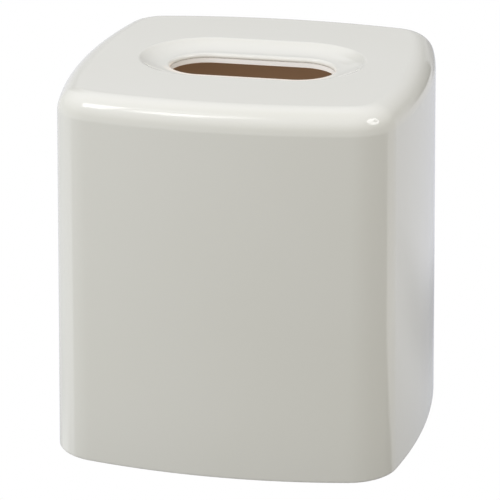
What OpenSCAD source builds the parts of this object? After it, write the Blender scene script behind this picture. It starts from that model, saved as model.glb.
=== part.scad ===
// Tissue box cover: a square, open-bottomed cover that drops over a cube carton.
// Z is up, X runs along the slot, and the origin is the middle of the footprint at table level.

/* [Body] */
// Width across the middle of two opposite sides, at the table
base_w = 141.6; // [136:0.2:160]
// Height from the table to the flat top
body_h = 143.3; // [135:0.1:175]
// Lean of the walls towards the top, in degrees
draft = 1; // [0.5:0.1:1.5]
// Plan radius of each bowed side, at the table
side_r = 250; // [180:1:400]
// Plan radius of each upright corner, at the table
corner_r = 20.4; // [18:0.2:26]
// Radius of the rounded edge between the walls and the top
edge_r = 9.4; // [8.6:0.1:12]
// Thickness of the outer shell
shell_t = 2; // [1.6:0.1:2.3]
// Rounding of the lower rims of the shell and the liner
rim_r = 0.3; // [0.1:0.05:0.4]

/* [Dish] */
// Length of the dish in the top, crest to crest
dish_l = 87.2; // [86.8:0.2:100]
// Width of the dish, crest to crest
dish_w = 54; // [53:0.2:64]
// Depth of the dish at the slot
dish_d = 3; // [2:0.05:4]
// Width of the hollowed slope between the crest and the level floor
slope_w = 10.2; // [8:0.1:10.4]
// Radius that softens the crest
crest_r = 2.5; // [0.4:0.1:4]

/* [Slot] */
// Length of the slot
slot_l = 63.6; // [56:0.2:64]
// Width of the slot
slot_w = 28.4; // [24:0.2:29]
// Radius of the rounded lip round the slot
lip_r = 1.4; // [0.8:0.1:1.5]
// Height of the upright land below the rounded lip
lip_land = 0.1; // [0.05:0.05:0.2]

/* [Slot ring] */
// Width of the ring's raised seat in the shell
seat_w = 3.7; // [3:0.1:5]
// Width of the flange that the liner clamps
flange_w = 9; // [8:0.1:10]
// Thickness of the flange
flange_t = 1.4; // [1:0.1:2]
// Gap between the flange and the underside of the dish
flange_gap = 0.3; // [0.1:0.05:0.6]
// Rounding of the ring's edges in the slot
ring_edge_r = 0.3; // [0.1:0.05:0.4]

/* [Liner] */
// Thickness of the liner
liner_t = 1.5; // [1:0.1:1.8]
// Gap between the shell and the liner
liner_gap = 0.35; // [0.3:0.05:0.6]
// Outer radius of the liner's top edge
liner_edge_r = 6; // [5:0.1:7]
// How far the liner's opening stands back from the slot
setback = 5; // [4:0.1:6]
// Height of the liner's lower edge above the table
liner_foot = 3.6; // [3:0.1:6]

/* [Catches] */
// Length of each snap catch inside the shell's rim
catch_l = 26; // [16:0.5:28]
// How far a catch stands out of the wall
catch_d = 1.1; // [0.8:0.1:1.4]
// Height of a catch, with its sloping lead-in
catch_h = 2; // [1.6:0.1:2.4]

/* [Hidden] */
$fn = 180;

// Steps in the rounded stretches of the sections
edge_steps = 10;
dish_steps = 8;
lip_steps = 6;
small_steps = 3;
// Overrun of every cut, and the lap between neighbouring solids of one piece
over = 1;

// The outline of the base is eight tangent arcs: the side arcs turn about points this far beyond the middle
side_centre = side_r - base_w / 2;
// A corner arc touches both of its side arcs from inside, which fixes where its centre lies on the diagonal
arc_gap = side_r - corner_r;
corner_centre = (sqrt(2 * pow(arc_gap, 2) - pow(side_centre, 2)) - side_centre) / 2;
// Half of the angle that a side arc spans
side_angle = atan2(corner_centre, corner_centre + side_centre);

// Swept stretches of a flat top stop this far inside the outline, just short of the corner arcs' own centres
top_reach = corner_r - over / 2;

// Heights below the flat top
lip_bottom = dish_d + lip_r + lip_land;
pan_bottom = dish_d + shell_t;
ring_bottom = pan_bottom + flange_gap + flange_t;
// Height of the liner's top face, which carries the ring
liner_top = body_h - ring_bottom;

// Plan sizes of the dish and the slot about their spines
dish_straight = (dish_l - dish_w) / 2;
dish_floor_r = dish_w / 2 - slope_w;
slot_straight = (slot_l - slot_w) / 2;
slot_r = slot_w / 2;
// Radius of the hollowed slope, which runs level into the floor
scoop_r = (pow(slope_w, 2) + pow(dish_d, 2)) / (2 * dish_d);
scoop_z = scoop_r - dish_d;
// The crest's rounding touches the flat top here and the slope at crest_angle
crest_x = dish_floor_r + sqrt(pow(scoop_r + crest_r, 2) - pow(scoop_z + crest_r, 2));
crest_angle = atan2(crest_x - dish_floor_r, scoop_z + crest_r);

// Points along an arc, both ends included
function arc(centre, r, from, to, steps) =
    [for (i = [0 : steps]) let (a = from + (to - from) * i / steps) centre + r * [cos(a), sin(a)]];

// Distance outward from the base outline of a face that lies inset inside the outer wall, at height z
function wall_x(inset, z) = -(inset / cos(draft) + z * tan(draft));

// Section of a skin: a rounded rim, a leaning wall, a rounded top edge and a stretch of the flat top
function skin_section(inset, low, high, edge, t) =
    let (centre = [wall_x(inset + edge, high - edge), high - edge])
    let (rim_z = low + rim_r)
    concat(
        arc([wall_x(inset + rim_r, rim_z), rim_z], rim_r, -90, draft, small_steps),
        arc(centre, edge, draft, 90, edge_steps),
        [[-top_reach, high], [-top_reach, high - t]],
        arc(centre, edge - t, 90, draft, edge_steps),
        arc([wall_x(inset + t - rim_r, rim_z), rim_z], rim_r, 180 + draft, 270, small_steps)
    );

// One eighth of a swept outline, from the middle of the +X side to the diagonal.
// The side arc and the corner arc start from one plane, in which both of their centres lie,
// and both run past the planes of symmetry that then trim them.
module outline_eighth() {
    reach = side_r + base_w;
    intersection() {
        translate([corner_centre, corner_centre, 0])
            rotate([0, 0, side_angle]) {
                rotate_extrude(angle = 45) translate([corner_r, 0]) children();
                translate([-arc_gap, 0, 0])
                    mirror([0, 1, 0])
                        rotate_extrude(angle = 2 * side_angle) translate([side_r, 0]) children();
            }
        rotate_extrude(angle = 45) square([reach, reach]);
    }
}

// Sweeps a section, drawn outward from the base outline, all the way round
module round_the_outline() {
    for (side = [0 : 3])
        rotate([0, 0, 90 * side]) {
            outline_eighth() children();
            mirror([0, 1, 0]) outline_eighth() children();
        }
}

// The middle of a flat top, bounded by four arcs that run under the swept stretches
module middle_plate(high, t) {
    translate([0, 0, high - t])
        linear_extrude(height = t)
            intersection_for(side = [0 : 3])
                rotate([0, 0, 90 * side])
                    translate([-side_centre, 0]) circle(r = arc_gap + over);
}

// A whole skin, closed at the top and open at the bottom
module skin(inset, low, high, edge, t) {
    round_the_outline() polygon(skin_section(inset, low, high, edge, t));
    middle_plate(high, t);
}

// Sweeps a section, drawn outward from a straight spine along X, round that spine
module round_the_spine(straight) {
    for (turn = [0, 180])
        rotate([0, 0, turn]) {
            translate([straight, 0, 0])
                rotate([0, 0, -90])
                    rotate_extrude(angle = 180) children();
            rotate([90, 0, 90])
                linear_extrude(height = 2 * straight, center = true) children();
        }
}

// What the dish takes out of the top
module dish_cut() {
    scoop = [dish_floor_r, scoop_z];
    crest = [crest_x, -crest_r];
    round_the_spine(dish_straight)
        polygon(concat(
            [[0, over], [0, -dish_d]],
            arc(scoop, scoop_r, 270, 270 + crest_angle, dish_steps),
            arc(crest, crest_r, 90 + crest_angle, 90, small_steps),
            [[crest_x, over]]
        ));
}

// The pan that keeps the wall's thickness under the dish
module dish_pan() {
    scoop = [dish_floor_r, scoop_z];
    pan_angle = acos((scoop_z + shell_t / 2) / (scoop_r + shell_t));
    round_the_spine(dish_straight)
        polygon(concat(
            [[0, -shell_t / 2], [0, -pan_bottom]],
            arc(scoop, scoop_r + shell_t, 270, 270 + pan_angle, dish_steps)
        ));
}

// The slot with its rounded lip, and below it the recess that the ring sits in
module slot_cut() {
    recess_r = slot_r + seat_w + liner_gap;
    lip = [slot_r + lip_r, -dish_d - lip_r];
    round_the_spine(slot_straight)
        polygon(concat(
            [[0, -pan_bottom - over], [recess_r, -pan_bottom - over], [recess_r, -lip_bottom], [slot_r, -lip_bottom]],
            arc(lip, lip_r, 180, 90, lip_steps),
            [[slot_r + lip_r, over], [0, over]]
        ));
}

// Snap catches at the middle of each side: a level top under the liner's edge and a sloping lead-in
module catches() {
    half_angle = asin(catch_l / 2 / side_r);
    top = liner_foot;
    nose = top - catch_h / 3;
    root = shell_t / 2;
    for (side = [0 : 3])
        rotate([0, 0, 90 * side])
            translate([-side_centre, 0, 0])
                rotate([0, 0, -half_angle])
                    rotate_extrude(angle = 2 * half_angle)
                        translate([side_r, 0])
                            polygon([
                                [wall_x(root, top - catch_h), top - catch_h],
                                [wall_x(shell_t, top - catch_h), top - catch_h],
                                [wall_x(shell_t + catch_d, nose), nose],
                                [wall_x(shell_t + catch_d, top), top],
                                [wall_x(root, top), top]
                            ]);
}

// Gloss outer moulding with the bowed walls, the dish and the lipped slot
module outer_shell() {
    color([0.87, 0.87, 0.84]) {
        difference() {
            union() {
                skin(0, 0, body_h, edge_r, shell_t);
                translate([0, 0, body_h]) dish_pan();
            }
            translate([0, 0, body_h]) dish_cut();
            translate([0, 0, body_h]) slot_cut();
        }
        catches();
    }
}

// Cream ring that finishes the slot under the lip, with a flange for the liner to hold
module slot_ring() {
    flange_top = -ring_bottom + flange_t;
    top_edge = [slot_r + ring_edge_r, -lip_bottom - ring_edge_r];
    low_edge = [slot_r + ring_edge_r, -ring_bottom + ring_edge_r];
    color([0.88, 0.85, 0.8])
        translate([0, 0, body_h])
            round_the_spine(slot_straight)
                polygon(concat(
                    arc(top_edge, ring_edge_r, 180, 90, small_steps),
                    [
                        [slot_r + seat_w, -lip_bottom],
                        [slot_r + seat_w, flange_top],
                        [slot_r + flange_w, flange_top],
                        [slot_r + flange_w, -ring_bottom]
                    ],
                    arc(low_edge, ring_edge_r, 270, 180, small_steps)
                ));
}

// Inner moulding that lines the shell, carries the ring and centres the carton
module inner_liner() {
    inset = shell_t + liner_gap;
    color([0.55, 0.41, 0.31])
        difference() {
            skin(inset, liner_foot, liner_top, liner_edge_r, liner_t);
            translate([0, 0, liner_top])
                round_the_spine(slot_straight)
                    translate([0, -liner_t - over]) square([slot_r + setback, liner_t + 2 * over]);
        }
}

outer_shell();
slot_ring();
inner_liner();
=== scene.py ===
from math import acos, asin, atan2, cos, pi, radians, sin, sqrt, tan

import bmesh
import bpy
from mathutils import Matrix, Vector


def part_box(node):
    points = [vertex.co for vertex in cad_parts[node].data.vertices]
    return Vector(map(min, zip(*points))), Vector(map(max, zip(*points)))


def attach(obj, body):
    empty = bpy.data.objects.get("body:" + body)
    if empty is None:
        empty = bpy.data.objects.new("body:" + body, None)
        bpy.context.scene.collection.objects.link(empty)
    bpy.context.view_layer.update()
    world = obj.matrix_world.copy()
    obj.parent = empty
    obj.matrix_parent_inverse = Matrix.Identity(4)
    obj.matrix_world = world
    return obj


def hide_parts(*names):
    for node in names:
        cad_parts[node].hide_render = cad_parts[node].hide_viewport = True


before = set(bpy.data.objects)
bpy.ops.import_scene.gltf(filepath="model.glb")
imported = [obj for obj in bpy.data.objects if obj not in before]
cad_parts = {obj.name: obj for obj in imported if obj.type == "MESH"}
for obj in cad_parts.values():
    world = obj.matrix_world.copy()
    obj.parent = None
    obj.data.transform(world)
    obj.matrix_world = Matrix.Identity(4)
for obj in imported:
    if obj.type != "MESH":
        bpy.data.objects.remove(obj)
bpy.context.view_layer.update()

mm = 0.001
up, left, down = pi / 2, pi, 1.5 * pi   # directions in a section
shellLow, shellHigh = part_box("outer_shell")


# The plan, and the sections and sweeps that the pieces share

plan = {
    "baseWidth": shellHigh.x - shellLow.x,
    "sideRadius": 250 * mm,      # bowed sides, at the table
    "cornerRadius": 20.4 * mm,   # upright corners, at the table
    "draft": radians(1),
    "catchSteps": 3,             # in half a side, along the catch
    "sideSteps": 9,              # in half a side, beyond the catch
    "cornerSteps": 20,
    "rimSteps": 4,               # in each rounding of a lower rim
    "endSteps": 30,              # in a quarter turn round the slot and the dish
    "weld": 0.004 * mm,          # points nearer than this are joined
    "flat": 0.0005 * mm,         # points nearer than this in height are level
    "crisp": radians(35),        # edges that turn more than this are shaded sharp
}
plan["sideCentre"] = plan["sideRadius"] - plan["baseWidth"] / 2
plan["arcGap"] = plan["sideRadius"] - plan["cornerRadius"]
plan["cornerCentre"] = (sqrt(2 * plan["arcGap"] ** 2 - plan["sideCentre"] ** 2) - plan["sideCentre"]) / 2
plan["sideAngle"] = atan2(plan["cornerCentre"], plan["cornerCentre"] + plan["sideCentre"])
catch = {
    "length": 26 * mm,
    "depth": 1.1 * mm,
    "height": 2 * mm,
    "top": 3.6 * mm,
    "noseShare": 1 / 3,          # of the height, between the level top and the sloping lead-in
}
plan["catchAngle"] = asin(catch["length"] / 2 / plan["sideRadius"])


def arcPoints(centre, radius, start, end, steps):
    turn = (end - start) / steps
    return [(centre[0] + radius * cos(start + i * turn), centre[1] + radius * sin(start + i * turn))
            for i in range(steps + 1)]


def wallX(inset, z):
    # distance outward from the base outline of a face that lies inset inside the outer wall
    return -(inset / cos(plan["draft"]) + z * tan(plan["draft"]))


def wallSection(inset, low, high, edge, thick, rim, steps, stops=()):
    # from the underside of the flat top, down the inside, round the rim and up the outside
    draft = plan["draft"]
    centre = (wallX(inset + edge, high - edge), high - edge)
    inner = arcPoints(centre, edge - thick, up, draft, steps)
    inner += [(wallX(inset + thick, z), z) for z in stops]
    outer = arcPoints(centre, edge, draft, up, steps)
    innerFoot = (wallX(inset + thick - rim, low + rim), low + rim)
    outerFoot = (wallX(inset + rim, low + rim), low + rim)
    foot = arcPoints(innerFoot, rim, left + draft, down, plan["rimSteps"])
    foot += arcPoints(outerFoot, rim, -up, draft, plan["rimSteps"])
    return inner + foot + outer


def ofKind(kind, parts):
    return [part for part in parts if isinstance(part, kind)]


def sweepWall(bm, section):
    # from the middle of the +X side along half a side, a corner and half of the next side
    verts = [bm.verts.new((plan["baseWidth"] / 2 + x, 0, z)) for x, z in section]
    geometry = verts + [bm.edges.new(pair) for pair in zip(verts, verts[1:])]
    sideCentre, cornerCentre = plan["sideCentre"], plan["cornerCentre"]
    rest, corner = plan["sideAngle"] - plan["catchAngle"], pi / 2 - 2 * plan["sideAngle"]
    walk = [((-sideCentre, 0, 0), plan["catchAngle"], plan["catchSteps"]),
            ((-sideCentre, 0, 0), rest, plan["sideSteps"]),
            ((cornerCentre, cornerCentre, 0), corner, plan["cornerSteps"]),
            ((0, -sideCentre, 0), rest, plan["sideSteps"]),
            ((0, -sideCentre, 0), plan["catchAngle"], plan["catchSteps"])]
    for centre, angle, steps in walk:
        spun = bmesh.ops.spin(bm, geom=geometry, cent=centre, axis=(0, 0, 1), angle=angle, steps=steps)
        geometry = spun["geom_last"]


def sweepSlot(bm, section, straight, closed=False):
    # a quarter turn about the end of a straight spine along X, then straight to the middle
    verts = [bm.verts.new((straight + r, 0, z)) for r, z in section]
    pairs = list(zip(verts, verts[1:])) + ([(verts[-1], verts[0])] if closed else [])
    edges = [bm.edges.new(pair) for pair in pairs]
    spun = bmesh.ops.spin(bm, geom=verts + edges, cent=(straight, 0, 0), axis=(0, 0, 1),
                          angle=pi / 2, steps=plan["endSteps"])
    last = ofKind(bmesh.types.BMEdge, spun["geom_last"])
    extruded = bmesh.ops.extrude_edge_only(bm, edges=last)
    middle = ofKind(bmesh.types.BMVert, extruded["geom"])
    bmesh.ops.translate(bm, verts=middle, vec=(-straight, 0, 0))


def fillLevel(bm, z):
    # the open edges at one height, closed along the planes of symmetry, bound one flat face
    edges = [e for e in bm.edges if e.is_boundary and all(abs(v.co.z - z) < plan["flat"] for v in e.verts)]
    ends = {v for e in edges for v in e.verts}
    for axis in (0, 1):
        edges.append(bm.edges.new([v for v in ends if abs(v.co[axis]) < plan["weld"]]))
    bmesh.ops.contextual_create(bm, geom=edges)


def mirrorQuarter(bm):
    for axis in ("X", "Y"):
        bmesh.ops.mirror(bm, geom=bm.verts[:] + bm.edges[:] + bm.faces[:], matrix=Matrix.Identity(4),
                         axis=axis, merge_dist=plan["weld"])


def addObject(name, data):
    added = bpy.data.objects.new(name, data)
    bpy.context.scene.collection.objects.link(added)
    return added


def finishMesh(bm, name):
    mirrorQuarter(bm)
    bmesh.ops.remove_doubles(bm, verts=bm.verts, dist=plan["weld"])
    bmesh.ops.recalc_face_normals(bm, faces=bm.faces)
    mesh = bpy.data.meshes.new(name)
    bm.to_mesh(mesh)
    bm.free()
    for face in mesh.polygons:
        face.use_smooth = True
    mesh.set_sharp_from_angle(angle=plan["crisp"])
    piece = addObject(name, mesh)
    weighted = piece.modifiers.new("evenShading", "WEIGHTED_NORMAL")
    weighted.mode = "FACE_AREA"
    weighted.keep_sharp = True
    return piece


# Outer shell

shell = {
    "height": shellHigh.z,
    "edge": 9.4 * mm,
    "wall": 2.0 * mm,
    "rim": 0.3 * mm,
    "edgeSteps": 22,
}
dish = {
    "length": 87.2 * mm,
    "width": 54 * mm,
    "depth": 3 * mm,
    "slope": 10.2 * mm,
    "crest": 2.5 * mm,
    "slopeSteps": 16,
    "crestSteps": 8,
    "panSteps": 8,
    "panShare": 1 / 3,           # of the curve under the dish that gives way to a flat underside
}
slot = {
    "length": 63.6 * mm,
    "width": 28.4 * mm,
    "lip": 1.4 * mm,
    "land": 0.1 * mm,
    "seat": 3.7 * mm,
    "gap": 0.35 * mm,
    "lipSteps": 10,
}
dish["straight"] = (dish["length"] - dish["width"]) / 2
slot["radius"] = slot["width"] / 2
slot["straight"] = (slot["length"] - slot["width"]) / 2
slot["lipFoot"] = dish["depth"] + slot["lip"] + slot["land"]
slot["seam"] = shell["height"] - slot["lipFoot"]


def raiseCatches(bm):
    # a strip of the inner wall at the middle of each side is drawn inwards, level on top and sloping below
    low, high = catch["top"] - catch["height"], catch["top"]
    nose = high - catch["height"] * catch["noseShare"]
    for across, along in ((0, 1), (1, 0)):
        def inStrip(v):
            return (low - plan["weld"] < v.co.z < high + plan["weld"] and v.co[across] > v.co[along]
                    and v.co[along] < catch["length"] / 2 + plan["weld"])
        strip = [face for face in bm.faces if all(inStrip(v) for v in face.verts)]
        drawn = bmesh.ops.extrude_face_region(bm, geom=strip)["geom"]
        bmesh.ops.delete(bm, geom=[face for face in strip if face.is_valid], context="FACES")
        for v in ofKind(bmesh.types.BMVert, drawn):
            inward = Vector((-v.co.x, -v.co.y, 0))
            inward[across] -= plan["sideCentre"]
            v.co += inward.normalized() * catch["depth"]
            v.co.z = high if v.co.z > nose else nose
        ends = [face for face in bm.faces if all(abs(v.co[along]) < plan["weld"] for v in face.verts)]
        bmesh.ops.delete(bm, geom=ends, context="FACES")


def dishSections():
    # the crest and slope of the hollow, and the pan under it, as one quarter turn sweeps them
    high, wall = shell["height"], shell["wall"]
    floor = dish["width"] / 2 - dish["slope"]
    scoop = (dish["slope"] ** 2 + dish["depth"] ** 2) / (2 * dish["depth"])
    scoopCentre = (floor, high + scoop - dish["depth"])
    crestRise = scoop - dish["depth"] + dish["crest"]
    crestX = floor + sqrt((scoop + dish["crest"]) ** 2 - crestRise ** 2)
    crestCentre = (crestX, high - dish["crest"])
    crestAngle = atan2(crestX - floor, crestRise)
    crest = arcPoints(crestCentre, dish["crest"], up, up + crestAngle, dish["crestSteps"])
    slope = arcPoints(scoopCentre, scoop, down + crestAngle, down, dish["slopeSteps"])
    panAngle = acos((scoop - dish["depth"] + wall) / (scoop + wall))
    panStart = panAngle * dish["panShare"]
    pan = arcPoints(scoopCentre, scoop + wall, down + panStart, down + panAngle, dish["panSteps"])
    return crest[:-1] + slope, pan


def throatSection(foot):
    # the slot's rounded lip and its land, then the recess for the ring down to the pan's underside
    lipCentre = (slot["radius"] + slot["lip"], shell["height"] - dish["depth"] - slot["lip"])
    recess = slot["radius"] + slot["seat"] + slot["gap"]
    lip = arcPoints(lipCentre, slot["lip"], up, left, slot["lipSteps"])
    return lip + [(slot["radius"], slot["seam"]), (recess, slot["seam"]), (recess, foot)]


def makeShell():
    high, wall = shell["height"], shell["wall"]
    stops = (catch["top"], catch["top"] - catch["height"])
    hollow, pan = dishSections()
    panFloor = pan[0][1]
    bm = bmesh.new()
    sweepWall(bm, wallSection(0, 0, high, shell["edge"], wall, shell["rim"], shell["edgeSteps"], stops))
    raiseCatches(bm)
    sweepSlot(bm, hollow, dish["straight"])
    sweepSlot(bm, pan, dish["straight"])
    sweepSlot(bm, throatSection(panFloor), slot["straight"])
    for level in (high, high - dish["depth"], panFloor, high - wall):
        fillLevel(bm, level)
    piece = finishMesh(bm, "glossShell")
    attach(piece, "root")
    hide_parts("outer_shell")
    return piece


glossShell = makeShell()
print("shell made", len(glossShell.data.polygons))


# Slot ring

ring = {
    "flange": 9 * mm,
    "flangeThick": 1.4 * mm,
    "flangeGap": 0.3 * mm,
    "edge": 0.3 * mm,
    "edgeSteps": 4,
}
ring["height"] = dish["depth"] + shell["wall"] + ring["flangeGap"] + ring["flangeThick"] - slot["lipFoot"]


def makeRing():
    top, foot = -slot["lipFoot"], -slot["lipFoot"] - ring["height"]
    shelf = foot + ring["flangeThick"]
    inside, edge = slot["radius"] + ring["edge"], ring["edge"]
    seat, flange = slot["radius"] + slot["seat"], slot["radius"] + ring["flange"]
    section = arcPoints((inside, top - edge), edge, left, up, ring["edgeSteps"])
    section += [(seat, top), (seat, shelf), (flange, shelf), (flange, foot)]
    section += arcPoints((inside, foot + edge), edge, down, left, ring["edgeSteps"])
    bm = bmesh.new()
    sweepSlot(bm, [(r, shell["height"] + z) for r, z in section], slot["straight"], closed=True)
    piece = finishMesh(bm, "slotRing")
    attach(piece, "root")
    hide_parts("slot_ring")
    return piece


slotRing = makeRing()
print("ring made", len(slotRing.data.polygons))


# Inner liner

liner = {
    "wall": 1.5 * mm,
    "edge": 6 * mm,
    "foot": 3.6 * mm,
    "setback": 5 * mm,
    "rim": 0.25 * mm,
    "edgeSteps": 10,
}


def makeLiner():
    inset = shell["wall"] + slot["gap"]
    high = shell["height"] - slot["lipFoot"] - ring["height"]
    mouth = slot["radius"] + liner["setback"]
    bm = bmesh.new()
    sweepWall(bm, wallSection(inset, liner["foot"], high, liner["edge"], liner["wall"], liner["rim"],
                              liner["edgeSteps"]))
    sweepSlot(bm, [(mouth, high), (mouth, high - liner["wall"])], slot["straight"])
    fillLevel(bm, high)
    fillLevel(bm, high - liner["wall"])
    piece = finishMesh(bm, "innerLiner")
    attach(piece, "root")
    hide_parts("inner_liner")
    return piece


innerLiner = makeLiner()
print("liner made", len(innerLiner.data.polygons))


# Helpers for shader nodes

def place(tree, kind, values=None, **settings):
    # one node with its settings, and a value or a link for each named input
    node = tree.nodes.new(kind)
    for key, value in settings.items():
        setattr(node, key, value)
    for key, value in (values or {}).items():
        if isinstance(value, bpy.types.NodeSocket):
            tree.links.new(value, node.inputs[key])
        else:
            node.inputs[key].default_value = value
    return node


def maths(tree, operation, *values):
    return place(tree, "ShaderNodeMath", dict(enumerate(values)), operation=operation).outputs[0]


def product(tree, first, *others):
    for value in others:
        first = maths(tree, "MULTIPLY", first, value)
    return first


def split(tree, vector):
    return place(tree, "ShaderNodeSeparateXYZ", {0: vector}).outputs


def spread(tree, value, low, high, toLow=0.0, toHigh=1.0, smooth=False):
    # low to high becomes toLow to toHigh, held at both ends
    kind = "SMOOTHSTEP" if smooth else "LINEAR"
    values = {"Value": value, "From Min": low, "From Max": high, "To Min": toLow, "To Max": toHigh}
    return place(tree, "ShaderNodeMapRange", values, interpolation_type=kind).outputs["Result"]


def noise(tree, coordinates, size, detail):
    # size is the width of a feature in metres
    values = {"Vector": coordinates, "Scale": maths(tree, "DIVIDE", 1.0, size), "Detail": detail}
    return place(tree, "ShaderNodeTexNoise", values).outputs["Fac"]


def mixColours(tree, mask, first, second, mode="MIX"):
    # first where the mask is 0, second where it is 1; each is a socket or a plain colour,
    # and the Mix node takes them in its inputs 6 and 7
    values = {0: mask}
    for key, colour in ((6, first), (7, second)):
        values[key] = colour if isinstance(colour, bpy.types.NodeSocket) else (*colour, 1)
    return place(tree, "ShaderNodeMix", values, data_type="RGBA", blend_type=mode).outputs[2]


def newGroup(name, inputs, outputs):
    group = bpy.data.node_groups.new(name, "ShaderNodeTree")
    for label, value in inputs.items():
        kind = "NodeSocketVector" if value is None else "NodeSocketFloat"
        item = group.interface.new_socket(label, in_out="INPUT", socket_type=kind)
        if value is not None:
            item.default_value = value
    for label in outputs:
        group.interface.new_socket(label, in_out="OUTPUT", socket_type="NodeSocketFloat")
    return group, group.nodes.new("NodeGroupInput").outputs, group.nodes.new("NodeGroupOutput").inputs


# Effects that the finishes share

skinNoise = {
    "waveDetail": 1,
    "grainDetail": 2,
    "tone": (0.35, 0.65),            # the waves' noise, from the first tone to the other
}
handlingNoise = {
    "smudgeDetail": 4,
    "smudge": (0.45, 0.75),          # the noise where a smudge starts, and where it is full
    "speckDetail": 3,
    "speck": (0.66, 0.74),
    "facing": (0.3, 0.9),            # how far up a face looks where dust starts, and where it is full
}
wearNoise = {
    "scuffDetail": 5,
    "scuff": (0.35, 0.65),
    "least": 0.4,                    # wear between the scuffs
}
# painted glow: emission on the slot's walls and lip for light through the plastic, with a painted highlight
# line on the front lip and painted shade at the left end
paintedGlowShape = {
    "pastLip": 0.5 * mm,             # the shell's glow reaches this far beyond the lip
    "wall": (0.95, 1.0),             # the glow on the slot's walls ends between these shares of the reach
    "seam": (0.1 * mm, 0.5 * mm),    # no glow this near to the seam, and all of it this far away
    "level": (0.4, 0.995),           # full on faces less level than this, and none on flat ones
    "shade": (-1.8, -0.9),           # the end with painted shade, where the painted glow is dimmed, in shares of the slot's straight
    "turn": 5 * mm,                  # either side of the middle, where the front colour takes over
    "line": (1.02, 1.12),            # the painted highlight line on the front lip ends between these shares of the reach
    "paintedLineStrength": 0.4,
    "paintedLineStart": (-5 * mm, -11 * mm),   # in front of the middle, from none of the painted highlight line to all of it
}


def makeMouldedSkin():
    # long slow waves from cooling, and the fine grain of the tool's surface
    inputs = {"Coordinates": None, "Wave Size": 40 * mm, "Wave Depth": 0.01 * mm,
              "Grain Size": 1 * mm, "Grain Depth": 0.001 * mm}
    group, given, result = newGroup("mouldedSkin", inputs, ("Height", "Tone"))
    waves = noise(group, given["Coordinates"], given["Wave Size"], skinNoise["waveDetail"])
    grain = noise(group, given["Coordinates"], given["Grain Size"], skinNoise["grainDetail"])
    height = maths(group, "ADD", product(group, waves, given["Wave Depth"]),
                   product(group, grain, given["Grain Depth"]))
    group.links.new(height, result["Height"])
    group.links.new(spread(group, waves, *skinNoise["tone"]), result["Tone"])
    return group


def makeHandling():
    # dull smudges from handling, and dust that settles on what faces up
    inputs = {"Coordinates": None, "Smudge Size": 30 * mm, "Speck Size": 0.8 * mm, "Dust": 0.3}
    group, given, result = newGroup("handling", inputs, ("Smudge", "Dust"))
    smudges = noise(group, given["Coordinates"], given["Smudge Size"], handlingNoise["smudgeDetail"])
    specks = noise(group, given["Coordinates"], given["Speck Size"], handlingNoise["speckDetail"])
    normal = split(group, place(group, "ShaderNodeNewGeometry").outputs["Normal"])
    facing = spread(group, normal["Z"], *handlingNoise["facing"])
    dust = product(group, spread(group, specks, *handlingNoise["speck"]), facing, given["Dust"])
    group.links.new(spread(group, smudges, *handlingNoise["smudge"]), result["Smudge"])
    group.links.new(dust, result["Dust"])
    return group


def makeRimWearAndShade():
    # scuffs and grime that fade away from an edge: upwards, or downwards where the reach is below zero;
    # downwards, on the slot ring, it is a painted shadow in the seam with some dust
    inputs = {"Coordinates": None, "Edge Height": 0.0, "Reach": 1.5 * mm, "Scuff Size": 3 * mm}
    group, given, result = newGroup("rimWearAndShade", inputs, ("Wear",))
    height = split(group, given["Coordinates"])["Z"]
    above = maths(group, "DIVIDE", maths(group, "SUBTRACT", height, given["Edge Height"]), given["Reach"])
    fade = spread(group, above, 0.0, 1.0, 1.0, 0.0, smooth=True)
    scuffs = noise(group, given["Coordinates"], given["Scuff Size"], wearNoise["scuffDetail"])
    scuffs = spread(group, scuffs, *wearNoise["scuff"], wearNoise["least"], 1.0)
    group.links.new(product(group, fade, scuffs), result["Wear"])
    return group


def makePaintedLipGlow():
    # painted glow: emission on the walls of the slot stands in for the light that soaks in through the dish
    # above them
    inputs = {"Coordinates": None, "Straight": 17 * mm, "Reach": 16 * mm, "Seam Height": 139 * mm,
              "Shaded End": 0.25}
    group, given, result = newGroup("paintedLipGlow", inputs, ("Glow", "Front"))
    x, y, z = split(group, given["Coordinates"])
    past = maths(group, "SUBTRACT", maths(group, "ABSOLUTE", x), given["Straight"])
    past = maths(group, "MAXIMUM", past, 0.0)
    away = maths(group, "SQRT", maths(group, "ADD", product(group, past, past), product(group, y, y)))
    away = maths(group, "DIVIDE", away, given["Reach"])
    wall = spread(group, away, *paintedGlowShape["wall"], 1.0, 0.0, smooth=True)
    seam = maths(group, "ABSOLUTE", maths(group, "SUBTRACT", z, given["Seam Height"]))
    clear = spread(group, seam, *paintedGlowShape["seam"])
    normal = split(group, place(group, "ShaderNodeNewGeometry").outputs["Normal"])
    upright = spread(group, maths(group, "ABSOLUTE", normal["Z"]), *paintedGlowShape["level"], 1.0, 0.0)
    # painted shade: the glow is weaker at the left end, where the slope above lies in shade and less light
    # soaks in
    alongSlot = maths(group, "DIVIDE", x, given["Straight"])
    lit = spread(group, alongSlot, *paintedGlowShape["shade"], given["Shaded End"], 1.0)
    # painted highlight: an emitted bright line on the edge of the front lip, which is seen from above
    line = spread(group, away, *paintedGlowShape["line"], paintedGlowShape["paintedLineStrength"], 0.0, smooth=True)
    line = product(group, line, spread(group, y, *paintedGlowShape["paintedLineStart"]), clear)
    glow = maths(group, "MAXIMUM", product(group, wall, clear, upright, lit), line)
    group.links.new(glow, result["Glow"])
    group.links.new(spread(group, y, paintedGlowShape["turn"], -paintedGlowShape["turn"]), result["Front"])
    return group


effects = {"mouldedSkin": makeMouldedSkin(), "handling": makeHandling(), "rimWearAndShade": makeRimWearAndShade(),
           "paintedLipGlow": makePaintedLipGlow()}


def useEffect(tree, name, coordinates, values):
    values = {"Coordinates": coordinates, **values}
    return place(tree, "ShaderNodeGroup", values, node_tree=effects[name]).outputs


# Finishes

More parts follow.
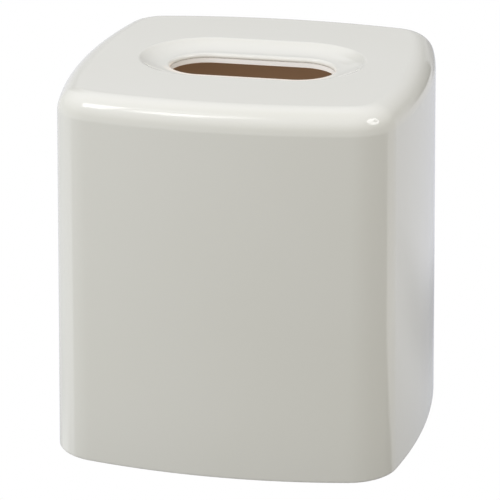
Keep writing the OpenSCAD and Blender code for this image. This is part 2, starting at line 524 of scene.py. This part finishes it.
glossPlastic = {
    "colour": (0.805, 0.803, 0.704),
    "otherTone": (0.80, 0.798, 0.696),
    "dustColour": (0.82, 0.82, 0.8),
    "wornAndShadedColour": (0.66, 0.65, 0.58),
    "roughness": (0.02, 0.07),
    "ior": 1.5,
    "skin": {"Wave Size": 45 * mm, "Wave Depth": 0.02 * mm,
             "Grain Size": 1.2 * mm, "Grain Depth": 0.0003 * mm},
    "handling": {"Smudge Size": 35 * mm, "Speck Size": 0.5 * mm, "Dust": 0.15},
    "wear": {"Edge Height": 0.0, "Reach": 1.2 * mm, "Scuff Size": 2.5 * mm},
    "glow": {"Straight": slot["straight"], "Reach": slot["radius"] + slot["lip"] + paintedGlowShape["pastLip"],
             "Seam Height": slot["seam"], "Shaded End": 0.7},
    # painted glow, emitted: at the back of the slot, and warm at the front lip as a painted highlight
    "glowColour": (0.13, 0.125, 0.125),
    "paintedFrontGlow": (0.3, 0.18, 0.1),
}
creamPlastic = {
    "colour": (0.86, 0.845, 0.765),
    "otherTone": (0.85, 0.835, 0.755),
    "dustColour": (0.84, 0.8, 0.74),
    # dark colour of the painted shadow and dust in the seam below the shell's lip
    "wornAndShadedColour": (0.42, 0.38, 0.33),
    "roughness": (0.28, 0.45),
    "ior": 1.5,
    "skin": {"Wave Size": 12 * mm, "Wave Depth": 0.008 * mm,
             "Grain Size": 0.5 * mm, "Grain Depth": 0.0015 * mm},
    "handling": {"Smudge Size": 8 * mm, "Speck Size": 0.4 * mm, "Dust": 0.2},
    # painted shadow and dust: darker just below the seam with the shell
    "wear": {"Edge Height": slot["seam"], "Reach": -0.5 * mm, "Scuff Size": 1.5 * mm},
    "glow": {"Straight": slot["straight"], "Reach": slot["radius"] + slot["lip"],
             "Seam Height": slot["seam"], "Shaded End": 0.25},
    # painted glow, emitted on the ring's slot wall and front lip
    "glowColour": (0.23, 0.235, 0.24),
    "paintedFrontGlow": (0.23, 0.235, 0.24),
}
# painted shade: the liner's dark brown base colour stands in for the dim light inside the cover
paintedShadeBrown = {
    "colour": (0.35, 0.24, 0.153),
    "otherTone": (0.33, 0.225, 0.143),
    "dustColour": (0.5, 0.42, 0.34),
    "wornAndShadedColour": (0.42, 0.31, 0.22),
    "roughness": (0.45, 0.65),
    "ior": 1.5,
    "skin": {"Wave Size": 50 * mm, "Wave Depth": 0.05 * mm,
             "Grain Size": 0.9 * mm, "Grain Depth": 0.01 * mm},
    "handling": {"Smudge Size": 25 * mm, "Speck Size": 0.7 * mm, "Dust": 0.3},
    "wear": {"Edge Height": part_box("inner_liner")[0].z, "Reach": 4 * mm, "Scuff Size": 4 * mm},
}


def makePlastic(name, look):
    # a moulded plastic: two near tones, dust and scuffs over them (on the slot ring also a painted shadow at
    # the seam), and the skin's waves and grain
    material = bpy.data.materials.new(name)
    material.use_nodes = True
    tree = material.node_tree
    shader = tree.nodes["Principled BSDF"]
    coordinates = place(tree, "ShaderNodeTexCoord").outputs["Object"]
    skin = useEffect(tree, "mouldedSkin", coordinates, look["skin"])
    handled = useEffect(tree, "handling", coordinates, look["handling"])
    wearAndShade = useEffect(tree, "rimWearAndShade", coordinates, look["wear"])["Wear"]
    tone = mixColours(tree, skin["Tone"], look["colour"], look["otherTone"])
    tone = mixColours(tree, handled["Dust"], tone, look["dustColour"])
    tone = mixColours(tree, wearAndShade, tone, look["wornAndShadedColour"])
    tree.links.new(tone, shader.inputs["Base Color"])
    dull = maths(tree, "MAXIMUM", handled["Smudge"], maths(tree, "MAXIMUM", handled["Dust"], wearAndShade))
    tree.links.new(spread(tree, dull, 0.0, 1.0, *look["roughness"]), shader.inputs["Roughness"])
    bump = place(tree, "ShaderNodeBump", {"Strength": 1.0, "Distance": 1.0, "Height": skin["Height"]})
    tree.links.new(bump.outputs["Normal"], shader.inputs["Normal"])
    shader.inputs["IOR"].default_value = look["ior"]
    # painted glow and painted highlight: emission mixed in by the glow mask
    if "glow" in look:
        glow = useEffect(tree, "paintedLipGlow", coordinates, look["glow"])
        colour = mixColours(tree, glow["Front"], look["glowColour"], look["paintedFrontGlow"])
        tree.links.new(mixColours(tree, glow["Glow"], (0, 0, 0), colour), shader.inputs["Emission Color"])
        shader.inputs["Emission Strength"].default_value = 1
    return material


glossShell.data.materials.append(makePlastic("glossPlastic", glossPlastic))
slotRing.data.materials.append(makePlastic("creamPlastic", creamPlastic))
innerLiner.data.materials.append(makePlastic("paintedShadeBrown", paintedShadeBrown))
print("materials made", len(bpy.data.materials))


# Floor and camera

ground = {
    "halfSize": 6,           # metres
    "shadeFrom": 90 * mm,    # from the middle
    "shadeTo": 240 * mm,
    "shade": 0.22,
}
view = {
    "azimuth": 0.2038,       # radians, from the front towards +X
    "elevation": 0.3431,
    "distance": 993.9 * mm,
    "lens": 182.95,
    "sensor": 36,
    "shiftX": -0.0046,
    "shiftY": -0.0296,
}


def makeFloor():
    bm = bmesh.new()
    bmesh.ops.create_grid(bm, x_segments=1, y_segments=1, size=ground["halfSize"])
    mesh = bpy.data.meshes.new("floor")
    bm.to_mesh(mesh)
    bm.free()
    floor = addObject("floor", mesh)
    # plain white to the camera; the surround's light from below passes it, less the cover's own shade
    material = bpy.data.materials.new("paleFloor")
    material.use_nodes = True
    tree = material.node_tree
    tree.nodes.clear()
    where = place(tree, "ShaderNodeTexCoord").outputs["Object"]
    away = place(tree, "ShaderNodeVectorMath", {0: where}, operation="LENGTH").outputs["Value"]
    passed = spread(tree, away, ground["shadeFrom"], ground["shadeTo"], 1 - ground["shade"], 1.0, smooth=True)
    clear = place(tree, "ShaderNodeBsdfTransparent", {"Color": passed}).outputs[0]
    white = place(tree, "ShaderNodeEmission", {"Color": (1, 1, 1, 1), "Strength": 1.0}).outputs[0]
    seen = place(tree, "ShaderNodeLightPath").outputs["Is Camera Ray"]
    shader = place(tree, "ShaderNodeMixShader", {0: seen, 1: clear, 2: white})
    place(tree, "ShaderNodeOutputMaterial", {"Surface": shader.outputs[0]})
    floor.data.materials.append(material)
    floor.visible_glossy = floor.visible_shadow = False


def makeCamera():
    camera = bpy.data.cameras.new("camera")
    camera.lens, camera.sensor_width = view["lens"], view["sensor"]
    camera.shift_x, camera.shift_y = view["shiftX"], view["shiftY"]
    azimuth, elevation = view["azimuth"], view["elevation"]
    back = Vector((sin(azimuth) * cos(elevation), -cos(azimuth) * cos(elevation), sin(elevation)))
    holder = addObject("camera", camera)
    holder.location = Vector((0, 0, shell["height"] / 2)) + back * view["distance"]
    holder.rotation_euler = back.to_track_quat("Z", "Y").to_euler()
    bpy.context.scene.camera = holder


makeFloor()
makeCamera()
bpy.context.scene.view_settings.view_transform = "Standard"
print("floor and camera made")


# Light

# places in the sky are a rise and an azimuth in degrees: 0 is in front, 90 at the right, 180 behind;
# the height, softness and fade of a softbox or card are lengths on a sky of radius 1
studio = {
    "strength": 1.055,
    # rise, tint, and brightness round the cover by azimuth
    "rings": [
        (-90, (1, 1, 1), {-180: 0}),
        (-32, (1, 1, 1), {-180: 0.2, -110: 0.45, -80: 0.6, -60: 0.25, 0: 0, 90: 0, 140: 0.15}),
        (-20, (0.98, 1, 1.08), {-180: 0.7, -150: 0.8, -125: 0.85, -105: 1.2, -95: 1.45, -77.5: 1.75,
                               -75.5: 0.7, -50: 0.5, -20: 0.2, 10: 0, 60: 0.05, 92: 0.3, 104: 0.45,
                               106.5: 1.65, 118: 1.6, 128: 1.35, 146: 1.1, 160: 0.95}),
        (-8, (1, 1, 1.05), {-180: 0.65, -130: 0.85, -95: 1.3, -55: 1.55, 0: 1.4, 40: 1.15, 120: 1.1,
                            150: 0.9}),
        (10, (1, 1, 1), {-180: 0.25, -165: 0.4, -90: 0.55, -40: 0.6, 0: 0.35, 40: 0.1, 110: 0.05, 165: 0}),
        (28, (1, 1, 1.06), {-180: 0.45, -165: 0.6, -145: 0.55, -90: 0.9, -40: 1.05, 40: 0.8, 130: 0.65,
                            160: 0.45}),
        (50, (1, 1, 1.12), {-180: 0.9, -140: 1, -90: 1.4, -45: 1.65, 0: 1.5, 40: 1.3, 80: 1.15, 130: 1}),
        (68, (1, 1, 1.09), {-180: 1.25}),
        (90, (1, 1, 0.97), {-180: 0.8}),
    ],
    "softboxes": [
        # the streak along the front edge, bright at the left and fainter in two steps
        {"from": (47.5, -64), "to": (52.3, -48), "halfHeight": 0.145, "soft": 0.07, "fade": 0.05,
         "endFade": 0.02, "level": 6},
        {"from": (54, -42), "to": (54, -23.5), "halfHeight": 0.09, "soft": 0.07, "fade": 0.07, "level": 5.3},
        {"from": (59.5, -26), "to": (63, -17), "halfHeight": 0.1, "soft": 0.08, "fade": 0.1, "level": 3.3},
        # a faint line above the streak
        {"from": (61, -58), "to": (70, -38), "halfHeight": 0.03, "soft": 0.04, "fade": 0.1, "level": 2},
        # the foot of the left corner
        {"from": (-25.5, -127), "to": (-24.5, -99), "halfHeight": 0.04, "soft": 0.05, "fade": 0.1,
         "level": 0.9},
    ],
    "cards": [
        # the dark edge of the top's rear right corner, and the outer side of that edge
        {"from": (2.5, 153), "to": (1.5, 168.5), "halfHeight": 0.115, "soft": 0.03, "fade": 0.12,
         "endFade": 0.015, "cover": 1},
        {"from": (-5.5, 170), "to": (-5.5, 186), "halfHeight": 0.11, "soft": 0.06, "fade": 0.04,
         "cover": 0.45},
        # the far edge of the right wall
        {"from": (-20.15, 152), "to": (-20.6, 186), "halfHeight": 0.017, "soft": 0.03, "fade": 0.15,
         "cover": 0.29},
        # the right end of the dish
        {"from": (12, -152), "to": (36, -147), "halfHeight": 0.09, "soft": 0.05, "fade": 0.15, "cover": 0.9},
        {"from": (22, -166), "to": (22, -155), "halfHeight": 0.05, "soft": 0.05, "fade": 0.04, "cover": 0.6},
        # the foot of the light strip beside the front right corner
        {"from": (-22.8, 104), "to": (-25.7, 126), "halfHeight": 0.04, "soft": 0.02, "fade": 0.03,
         "cover": 0.85},
    ],
    # a round reflector at the right, with its darker hub, draws the spot on the front corner
    "lamp": {"at": (41.5, 80), "hubAt": (40, 86), "radius": 13.5, "hub": 5, "hubLevel": 0.1, "soft": 3,
             "level": 5.5},
    # the room is a little warmer at the right
    "warmSide": {"at": (-10, 65), "tint": (1, 0.96, 0.885)},
}
innerGlow = {
    "energy": 0.125,
    "radius": 30 * mm,
    "colour": (1, 0.95, 0.9),
    "height": 0.4 * shell["height"],
}


def towards(rise, azimuth):
    rise, azimuth = radians(rise), radians(azimuth)
    return Vector((cos(rise) * sin(azimuth), -cos(rise) * cos(azimuth), sin(rise)))


def partAlong(tree, direction, axis):
    # how far a direction reaches along an axis
    dot = place(tree, "ShaderNodeVectorMath", {0: direction, 1: axis}, operation="DOT_PRODUCT")
    return dot.outputs["Value"]


def makeSkyRing(tree, around, tint, levels):
    # the light round the cover at one rise, whose ends meet behind it
    ramp = place(tree, "ShaderNodeValToRGB", {"Fac": around})
    elements = ramp.color_ramp.elements
    for azimuth, level in sorted(levels.items()) + [(180, levels[-180])]:
        if abs(azimuth) == 180:
            element = elements[0 if azimuth < 0 else -1]
        else:
            element = elements.new((azimuth + 180) / 360)
        element.color = (*(level * part for part in tint), 1)
    return ramp.outputs["Color"]


def makeSky(tree, direction):
    # each ring's light runs over into the next one's above it
    x, y, z = split(tree, direction)
    around = spread(tree, maths(tree, "ARCTAN2", x, product(tree, y, -1.0)), -pi, pi)
    rise = maths(tree, "ARCSINE", z)
    rings = [(radians(ringRise), makeSkyRing(tree, around, tint, levels))
             for ringRise, tint, levels in studio["rings"]]
    below, light = rings[0]
    for above, colour in rings[1:]:
        light = mixColours(tree, spread(tree, rise, below, above), light, colour)
        below = above
    return light


def skyStrip(tree, direction, strip):
    # a mask over the sky for a strip between two places, with its own softness across and along
    first, last = towards(*strip["from"]), towards(*strip["to"])
    middle = (first + last).normalized()
    length = (last - first).normalized()
    height = middle.cross(length)
    half, high, soft = (last - first).length / 2, strip["halfHeight"], strip["soft"] / 2
    fade = strip["fade"]
    sides = ((-length, half, fade), (length, half, strip.get("endFade", fade)),
             (-height, high, soft), (height, high, soft))
    inside = maths(tree, "GREATER_THAN", partAlong(tree, direction, middle), 0.0)
    for axis, edge, blur in sides:
        mask = spread(tree, partAlong(tree, direction, axis), edge + blur, edge - blur, smooth=True)
        inside = product(tree, inside, mask)
    return inside


def makeLamp(tree, direction):
    lamp = studio["lamp"]
    away = maths(tree, "ARCCOSINE", partAlong(tree, direction, towards(*lamp["at"])))
    fromHub = maths(tree, "ARCCOSINE", partAlong(tree, direction, towards(*lamp["hubAt"])))
    edge, hub, soft = radians(lamp["radius"]), radians(lamp["hub"]), radians(lamp["soft"]) / 2
    disc = spread(tree, away, edge + soft, edge - soft, smooth=True)
    outside = spread(tree, fromHub, hub + soft, hub - soft, 1.0, lamp["hubLevel"], smooth=True)
    return product(tree, disc, outside, lamp["level"])


def makeSurround():
    world = bpy.data.worlds.new("studio")
    bpy.context.scene.world = world
    world.use_nodes = True
    tree = world.node_tree
    direction = place(tree, "ShaderNodeTexCoord").outputs["Generated"]
    light = makeSky(tree, direction)
    for card in studio["cards"]:
        covered = product(tree, skyStrip(tree, direction, card), card["cover"])
        light = mixColours(tree, covered, light, (0, 0, 0))
    warm = studio["warmSide"]
    side = spread(tree, partAlong(tree, direction, towards(*warm["at"])), 0.0, 1.0, smooth=True)
    light = mixColours(tree, side, light, warm["tint"], "MULTIPLY")
    # the lamps are only mirrored, because the rings already hold their share of the soft light
    lamps = [product(tree, skyStrip(tree, direction, box), box["level"]) for box in studio["softboxes"]]
    path = place(tree, "ShaderNodeLightPath").outputs
    for lamp in lamps + [makeLamp(tree, direction)]:
        light = mixColours(tree, path["Is Glossy Ray"], light, lamp, "ADD")
    light = mixColours(tree, path["Is Camera Ray"], light, (1, 1, 1))
    background = tree.nodes["Background"]
    tree.links.new(light, background.inputs["Color"])
    background.inputs["Strength"].default_value = studio["strength"]


def makeInnerGlow():
    # a soft lamp inside the cover, for the daylight that its thin walls let through
    lamp = bpy.data.lights.new("innerGlow", "POINT")
    lamp.energy = innerGlow["energy"]
    lamp.shadow_soft_size = innerGlow["radius"]
    lamp.color = innerGlow["colour"]
    holder = addObject("innerGlow", lamp)
    holder.location = (0, 0, innerGlow["height"])
    holder.visible_camera = holder.visible_glossy = False


makeSurround()
makeInnerGlow()
print("light made")
